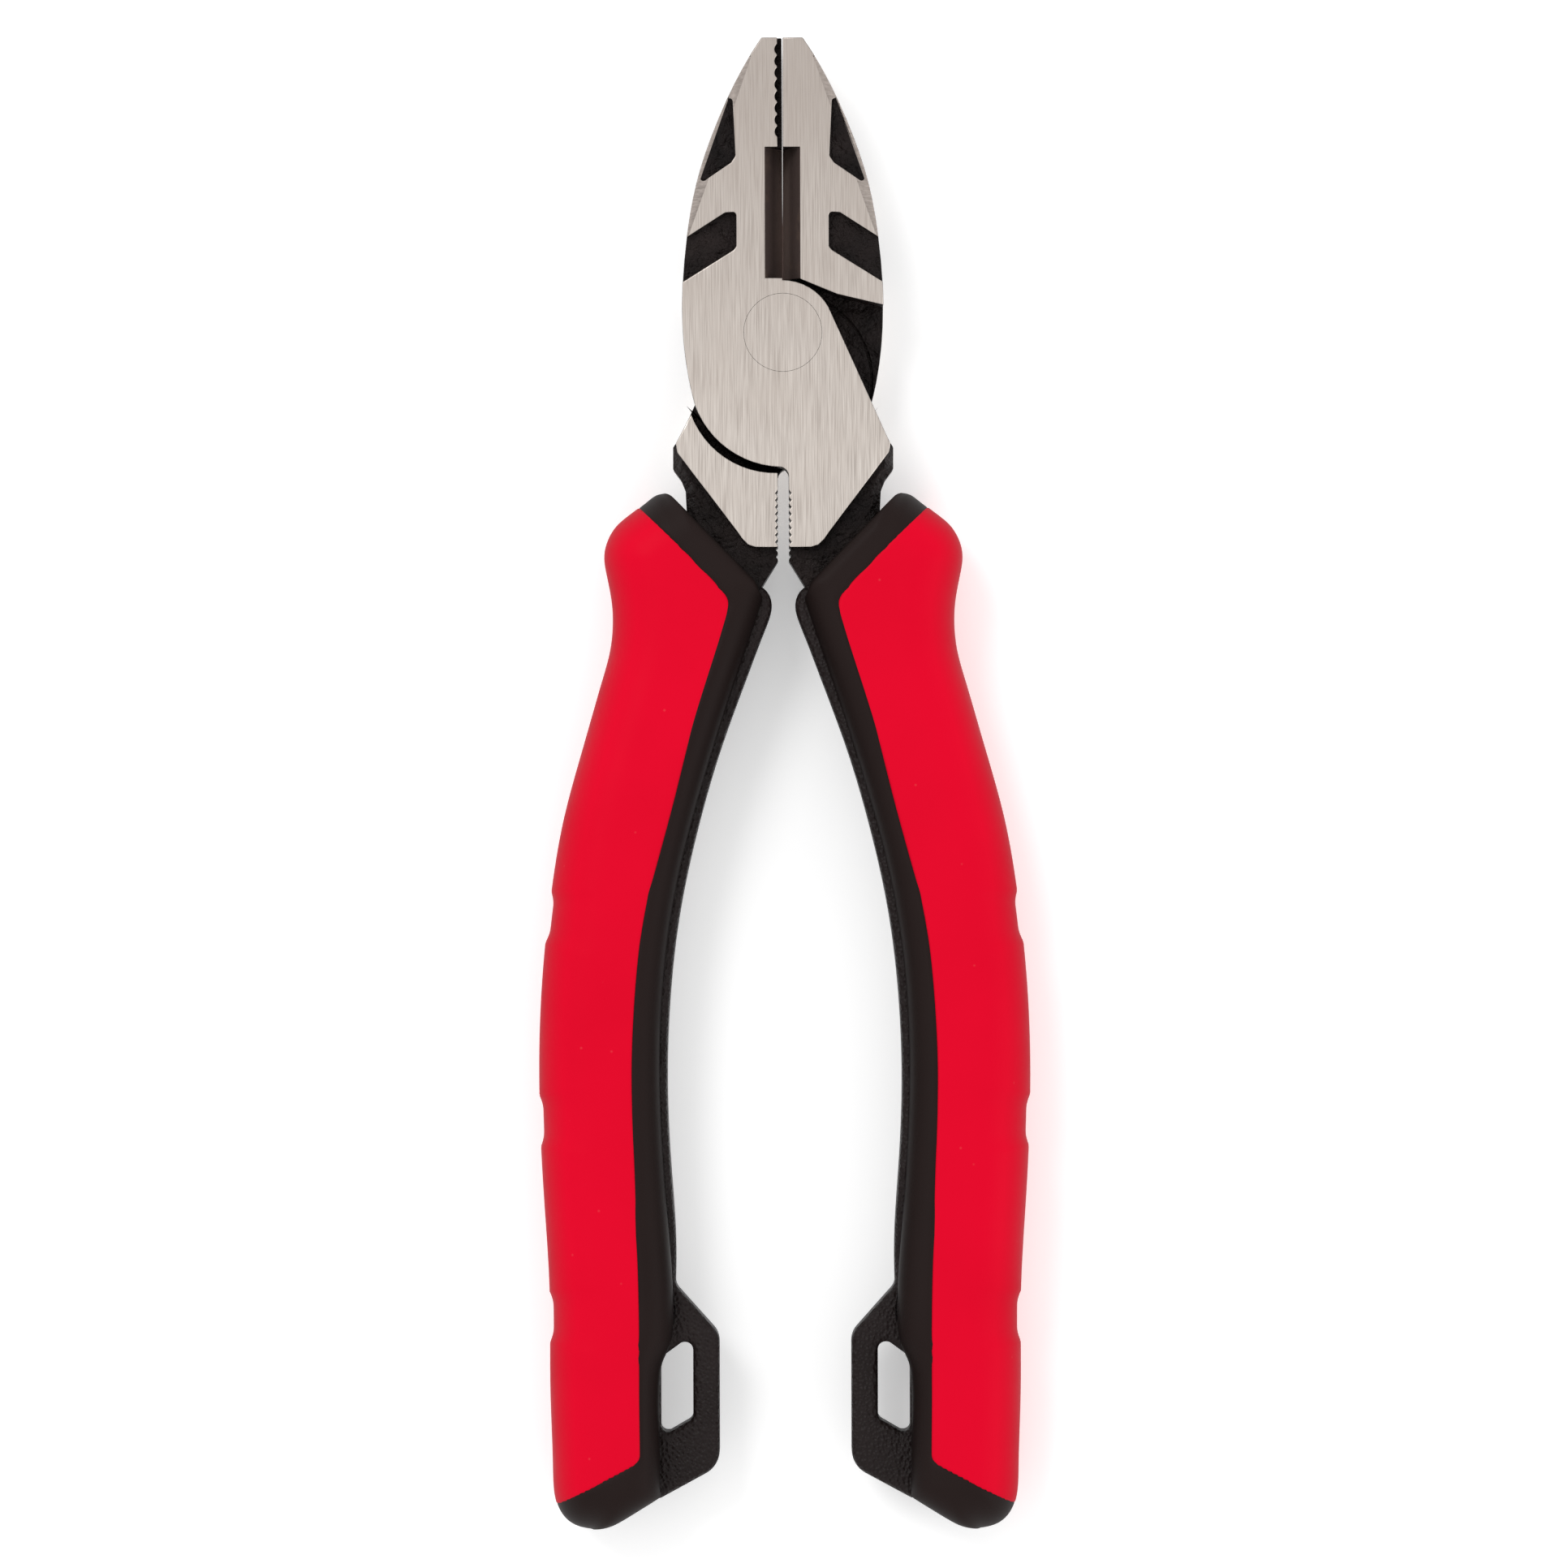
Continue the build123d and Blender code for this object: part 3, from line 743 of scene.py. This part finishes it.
outer_rows = evenly(outer_side, GRIP_ROWS)
inner_rows = evenly(np.vstack([collar_side, band_side[1:], heel_side[1:]]), GRIP_ROWS)
sleeve = np.concatenate(face_and_walls(outer_rows, inner_rows), axis=1)
inside = nearest(red_edge, sleeve[..., :2].reshape(-1, 2)).reshape(sleeve.shape[:2])
bed = np.clip((inside - BED_EDGE[0]) / (BED_EDGE[1] - BED_EDGE[0]), 0, 1)
sleeve_out = outward(sleeve, np.roll(sleeve, -1, axis=1) - np.roll(sleeve, 1, axis=1))
sleeve = sleeve - sleeve_out * (BED_DEPTH * bed**2 * (3 - 2 * bed))[..., None]

sleeve_faces = tube_faces(GRIP_ROWS, sleeve.shape[1])
for side, (flip, body) in SIDES.items():
    band = mesh_piece(f"{side}_black_sleeve", sleeve, sleeve_faces, black_rubber, flip)
    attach(band, body)
    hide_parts(f"{side}_grip_band")


# ---- Red overmould ----
# The second shot: a thick red skin lying in the sleeve's bed and wrapping round the outer side of the handle,
# a hair proud of the black and softly rounded where it meets it.
# Its third colour, much darker than the fresh one, is painted shade on the steep sides and rounded edges.
red_rubber = moulded_material(
    "red_overmould",
    ((0.77, 0.0004, 0.022, 1), (0.73, 0.0004, 0.020, 1), (0.42, 0.001, 0.014, 1)),
    roughness=(0.46, 0.58), grain_scale=3200, relief=(0.2, 0.03), specular=0.05, dust=0.05,
)
RED_THICK = 1.4
RED_PROUD = 0.06
RED_ROUND = 0.45

red_ends = (red_edge[0], red_edge[-1])
first_row, last_row = (np.linalg.norm(outer_side - end, axis=1).argmin() for end in red_ends)
red_outer = evenly(outer_side[first_row:last_row + 1], GRIP_ROWS)
skin = np.concatenate(face_and_walls(evenly(red_edge, GRIP_ROWS), red_outer)[:3], axis=1)
skin_out = -outward(skin, np.gradient(skin, axis=1))
rim = np.clip(np.abs(nearest(red_edge, skin[..., :2].reshape(-1, 2))).reshape(skin.shape[:2]), 0, RED_ROUND)
lift = RED_PROUD - RED_ROUND + np.sqrt(RED_ROUND**2 - (RED_ROUND - rim) ** 2)
upper_skin = skin + skin_out * lift[..., None]
lower_skin = upper_skin - skin_out * RED_THICK
red_rings = np.concatenate([upper_skin, lower_skin[:, ::-1]], axis=1)
width = skin.shape[1]
end_cap = [[j, j + 1, 2 * width - 2 - j, 2 * width - 1 - j] for j in range(width - 1)]
last = (GRIP_ROWS - 1) * 2 * width
red_faces = tube_faces(GRIP_ROWS, 2 * width) + end_cap + [[i + last for i in face] for face in end_cap]

for side, (flip, body) in SIDES.items():
    red = mesh_piece(f"{side}_red_skin", red_rings, red_faces, red_rubber, flip)
    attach(red, body)
    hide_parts(f"{side}_red_grip")
